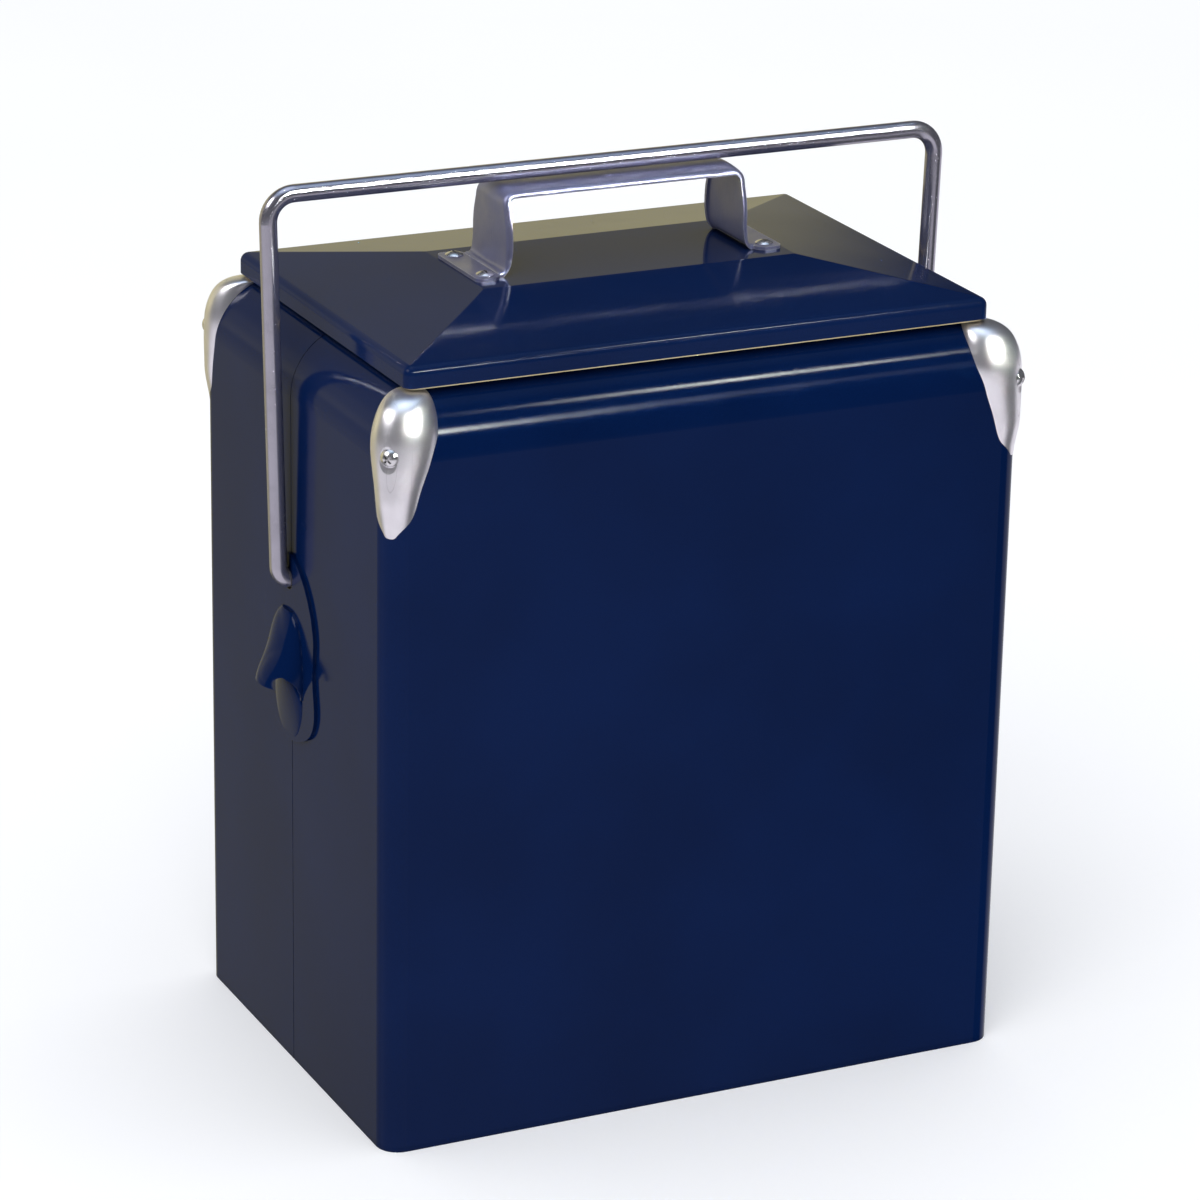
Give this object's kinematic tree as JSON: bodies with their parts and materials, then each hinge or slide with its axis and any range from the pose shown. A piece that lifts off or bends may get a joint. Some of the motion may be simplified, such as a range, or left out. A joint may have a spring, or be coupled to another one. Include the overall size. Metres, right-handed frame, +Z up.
{
  "type": "soda cooler chest",
  "caption": "Upright steel picnic cooler with turned-in shoulders, metal corner caps, lift-off hip-roof lid, strap handle, swinging bail and side bottle openers.",
  "frame": {"origin": "on the floor under the middle of the body", "axes": "+X to the right along the long side, -Y to the front, +Z up"},
  "size_m": [0.3424, 0.2228, 0.4183],
  "materials": {
    "body_paint": "gloss",
    "lid_paint": "gloss",
    "plate_paint": "gloss",
    "pan_paint": "satin",
    "cap_metal": "satin",
    "screw_metal": "polished",
    "bail_metal": "polished",
    "strap_metal": "satin",
    "zinc_steel": "satin",
    "bushing_plastic": "satin",
    "liner_plastic": "satin",
    "lid_liner_plastic": "satin",
    "gasket_rubber": "matte",
    "foam": "matte"
  },
  "bodies": {
    "chest": {"shell_front": "body_paint", "shell_back": "body_paint", "seam_strip_left": "zinc_steel", "seam_strip_right": "zinc_steel", "bottom_pan": "pan_paint", "body_insulation": "foam", "inner_liner": "liner_plastic", "corner_cap_front_left": "cap_metal", "corner_cap_front_right": "cap_metal", "corner_cap_back_left": "cap_metal", "corner_cap_back_right": "cap_metal", "corner_cap_screws": "screw_metal", "opener_plate_left": "plate_paint", "opener_plate_right": "plate_paint", "pivot_bushing_left": "bushing_plastic", "pivot_bushing_right": "bushing_plastic"},
    "bail": {"bail_handle": "bail_metal", "bail_retainers": "zinc_steel"},
    "lid": {"lid_shell": "lid_paint", "lid_insulation": "foam", "lid_liner": "lid_liner_plastic", "lid_gasket": "gasket_rubber", "lid_backing_plates": "zinc_steel", "lid_handle": "strap_metal", "lid_handle_screws": "screw_metal"}
  },
  "joints": [
    {"name": "bail_swing", "type": "hinge", "parent": "chest", "child": "bail", "pos_m": [0, 0, 0.237], "axis": [1, 0, 0], "range_deg": [0, 139]},
    {"name": "lid_lift", "type": "slide", "parent": "chest", "child": "lid", "axis": [0, 0, 1], "range_m": [0, 0.034]}
  ],
  "couplings": [
    {"joint": "lid_lift", "follows": "bail_swing", "m_per_rad": 0.014}
  ]
}
